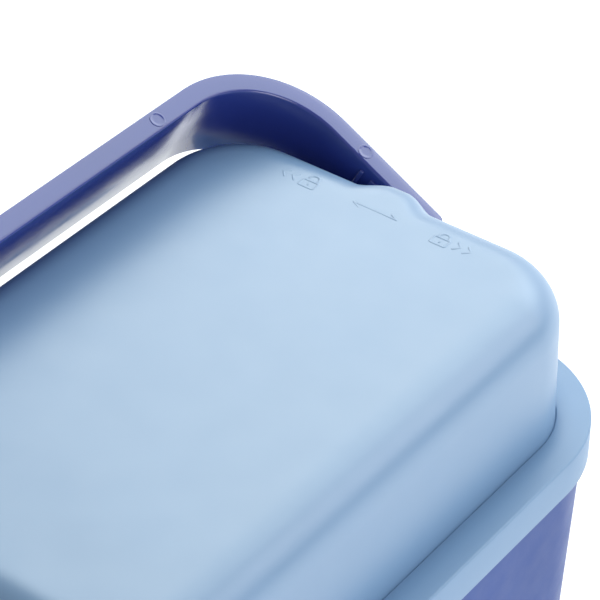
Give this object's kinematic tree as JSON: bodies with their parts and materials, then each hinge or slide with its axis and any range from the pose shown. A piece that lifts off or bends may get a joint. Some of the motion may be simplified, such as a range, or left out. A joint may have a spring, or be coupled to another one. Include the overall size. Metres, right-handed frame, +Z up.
{
  "type": "cat litter box with hood",
  "caption": "Deep rectangular litter pan with rounded corners, a lift-off domed hood, a wide swing handle that locks them together, and a doorway with a swing flap.",
  "frame": {"origin": "on the floor, under the middle of the box", "axes": "+Z up; the doorway faces -Y; +X is the box's right side, the side the handle closes towards; the length runs along Y"},
  "size_m": [0.39, 0.56, 0.455],
  "materials": {
    "hood_plastic": "light blue, satin, injection moulded",
    "base_plastic": "dark blue, satin, injection moulded",
    "handle_plastic": "dark blue, semi-gloss, injection moulded",
    "pivot_plastic": "dark blue acetal",
    "washer_nylon": "natural nylon",
    "spring_steel": "plain zinc plated",
    "foot_rubber": "black, matt",
    "flap_plastic": "clear, pale blue tint"
  },
  "bodies": {
    "base": {"base_pan": "base_plastic", "foot_front_left": "foot_rubber", "foot_front_right": "foot_rubber", "foot_back_left": "foot_rubber", "foot_back_right": "foot_rubber", "flap_rod": "spring_steel"},
    "hood": {"hood_shell": "hood_plastic", "pivot_pin_front": "pivot_plastic", "pivot_pin_back": "pivot_plastic", "spacer_washer_front": "washer_nylon", "spacer_washer_back": "washer_nylon", "pin_retainer_front": "spring_steel", "pin_retainer_back": "spring_steel"},
    "handle": {"handle": "handle_plastic", "latch_cam_front": "pivot_plastic", "latch_cam_back": "pivot_plastic"},
    "flap": {"flap": "flap_plastic"}
  },
  "joints": [
    {"name": "hood_lift", "type": "slide", "parent": "base", "child": "hood", "axis": [0, 0, 1], "range_m": [0, 0.25]},
    {"name": "handle_swing", "type": "hinge", "parent": "hood", "child": "handle", "pos_m": [0, 0, 0.3255], "axis": [0, 1, 0], "range_deg": [-29, 151]},
    {"name": "flap_swing", "type": "hinge", "parent": "base", "child": "flap", "pos_m": [0, -0.2665, 0.244], "axis": [1, 0, 0], "range_deg": [-75, 80]}
  ]
}
